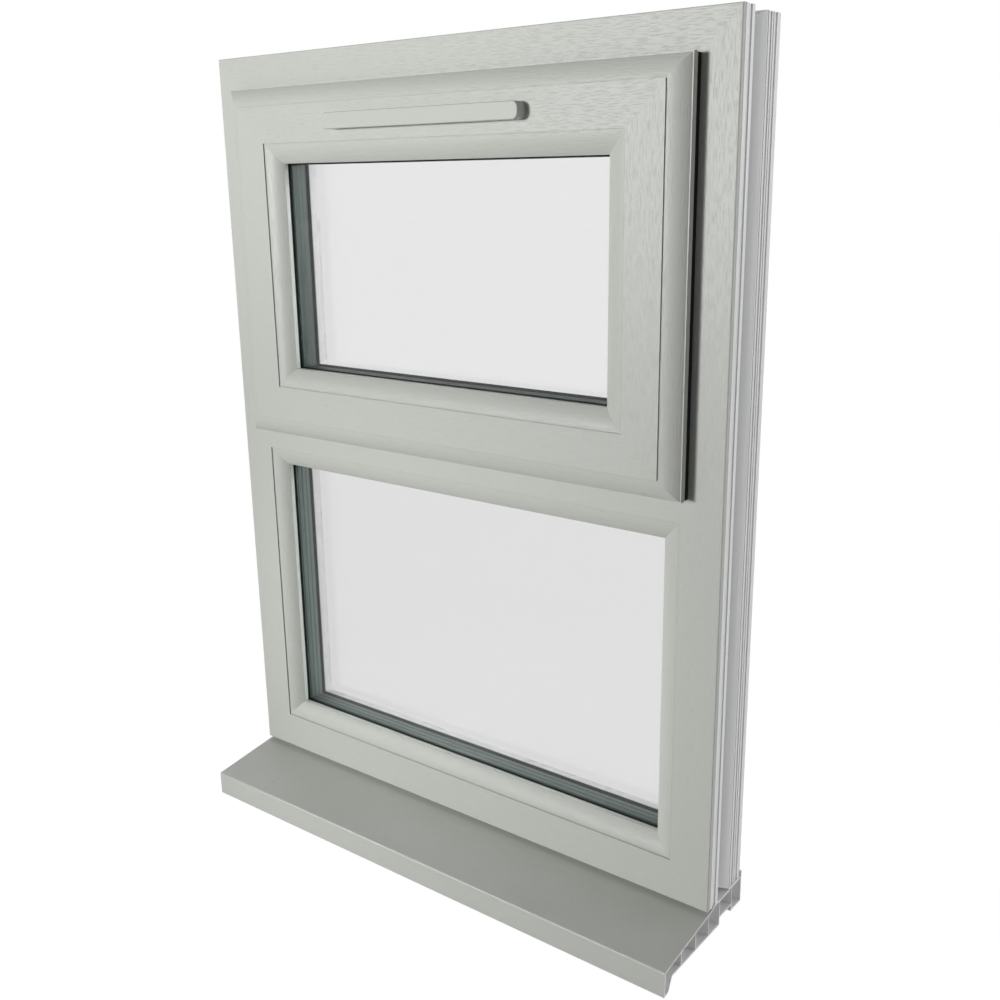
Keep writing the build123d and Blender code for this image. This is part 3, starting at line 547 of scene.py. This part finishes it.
edge_widths = {"foil": 0.00035, "white_bead": 0.0003, "white_moulding": 0.0003,
               "white_paint": 0.0003, "stainless": 0.0002, "black": 0.00025}
WELD_REACH = 2e-6
SHARP_ANGLE = 32
BEVEL_STEPS = 2
NORMAL_WEIGHT = 60
for obj in nodes.values():
    look_name = obj.data.materials[0].name
    width = next((w for start, w in edge_widths.items() if look_name.startswith(start)), None)
    if width is None:
        continue
    weld = obj.modifiers.new("weld", "WELD")
    weld.merge_threshold = WELD_REACH
    bevel = obj.modifiers.new("edges", "BEVEL")
    bevel.width = width
    bevel.segments = BEVEL_STEPS
    bevel.limit_method = "ANGLE"
    bevel.angle_limit = math.radians(SHARP_ANGLE)
    bevel.use_clamp_overlap = True
    normals = obj.modifiers.new("normals", "WEIGHTED_NORMAL")
    normals.mode = "FACE_AREA"
    normals.weight = NORMAL_WEIGHT


# Floor and background

FLOOR_SIZE = 30
FLOOR_GAP = 0.002
FLOOR_GREY = (0.7, 0.7, 0.7, 1)
FLOOR_GLOW = 1.0
FLOOR_GLOW_SEEN = 1.07
FLOOR_SEEN_SHARE = 0.92
FLOOR_MIRRORED_SHARE = 0.1
LIGHT = (1, 1, 1, 1)

# Spans of the direction in the sky and the brightness at their two ends
FILL_BEHIND = (0.2, 0.7, 0.05, 0.95)
FILL_ABOVE = (0.5, 0.8, 0.0, 0.15)
FILL_RIGHT = (0.6, 0.9, 0.0, 0.3)
SHINE_BEHIND = (-0.2, 0.3, 0.37, 1.0)
SHINE_ABOVE = (0.5, 0.8, 0.0, 0.7)


def backdrop_material():
    """Pale floor that looks white and keeps a faint shadow."""
    made = bpy.data.materials.new("pale_floor")
    made.use_nodes = True
    tree = made.node_tree
    tree.nodes.clear()
    path = add(tree, "LightPath")
    direct = path.outputs["Is Camera Ray"]
    through = path.outputs["Is Transmission Ray"]
    mirrored = times(tree, path.outputs["Is Glossy Ray"], FLOOR_MIRRORED_SHARE)
    cloth = add(tree, "BsdfDiffuse", {0: FLOOR_GREY})
    strength = span(tree, direct, 0.0, 1.0, FLOOR_GLOW, FLOOR_GLOW_SEEN)
    glow = add(tree, "Emission", {0: LIGHT, 1: strength})
    share = most(tree, most(tree, times(tree, direct, FLOOR_SEEN_SHARE), through), mirrored)
    mixed = add(tree, "MixShader", {0: share, 1: cloth.outputs[0], 2: glow.outputs[0]})
    out = add(tree, "OutputMaterial")
    tree.links.new(mixed.outputs[0], out.inputs[0])
    return made


bpy.ops.mesh.primitive_plane_add(size=FLOOR_SIZE, location=(0, 0, cad_box[0].z - FLOOR_GAP))
floor = bpy.context.object
floor.name = "floor"
floor.data.materials.append(backdrop_material())


def studio_world():
    """White where it is looked at; for the lighting, bright behind the window and dim elsewhere."""
    made = bpy.data.worlds.new("studio")
    made.use_nodes = True
    tree = made.node_tree
    tree.nodes.clear()
    path = add(tree, "LightPath")
    seen = most(tree, path.outputs["Is Camera Ray"], path.outputs["Is Transmission Ray"])
    way = add(tree, "SeparateXYZ", {0: add(tree, "TexCoord").outputs["Generated"]})
    right, behind, above = way.outputs
    fill = most(tree, span(tree, behind, *FILL_BEHIND), span(tree, above, *FILL_ABOVE))
    fill = most(tree, fill, span(tree, right, *FILL_RIGHT))
    shine = most(tree, span(tree, behind, *SHINE_BEHIND), span(tree, above, *SHINE_ABOVE))
    strength = blend_value(tree, path.outputs["Is Glossy Ray"], fill, shine)
    sky = add(tree, "Background", {0: LIGHT, 1: most(tree, strength, seen)})
    tree.links.new(sky.outputs[0], add(tree, "OutputWorld").inputs[0])
    return made


scene.world = studio_world()


# Lamps

def lamp_object(name, lamp, way):
    """Object that holds a lamp and points along the given way."""
    obj = bpy.data.objects.new(name, lamp)
    scene.collection.objects.link(obj)
    obj.rotation_euler = way.to_track_quat("-Z", "Y").to_euler()
    return obj


def distant(name, bearing, fall, spread, strength):
    """Far lamp, by the bearing it shines along from +Y towards +X, its fall and its spread."""
    lamp = bpy.data.lights.new(name, "SUN")
    lamp.energy = strength
    lamp.angle = math.radians(spread)
    turn = math.radians(bearing)
    return lamp_object(name, lamp, Vector((math.sin(turn), math.cos(turn), -fall)))


def beam(name, position, target, size, cone, power):
    """Soft-edged beam from a place towards a target."""
    lamp = bpy.data.lights.new(name, "SPOT")
    lamp.energy = power
    lamp.shadow_soft_size = size
    lamp.spot_size = math.radians(cone)
    lamp.spot_blend = 1.0
    obj = lamp_object(name, lamp, Vector(target) - Vector(position))
    obj.location = position


distant("key", bearing=22, fall=0.026, spread=14, strength=2.16)
rear = distant("rear", bearing=-127, fall=0.1, spread=24, strength=1.95)
rear.visible_glossy = False
beam("high_key", position=(-1.873, -4.636, 0.95), target=(-0.2, 0, 0.77),
     size=0.4, cone=17, power=440)
beam("low_key", position=(-0.8, -0.9, 0.58), target=(0.03, -0.04, 0.02),
     size=0.1, cone=44, power=27)


# Camera at the photograph's viewing point

CAMERA_PLACE = (0.7241, -0.8524, 0.6974)
CAMERA_TURNS = ((37.678, "Z"), (-15.737, "X"), (0.863, "Y"), (90, "X"))

camera = bpy.data.cameras.new("camera")
camera.sensor_width = 36.0
camera.lens = 41.21
camera.clip_start = 0.01
camera_object = bpy.data.objects.new("camera", camera)
scene.collection.objects.link(camera_object)
pose = Matrix.Translation(CAMERA_PLACE)
for angle, axis in CAMERA_TURNS:
    pose = pose @ Matrix.Rotation(math.radians(angle), 4, axis)
camera_object.matrix_world = pose
scene.camera = camera_object
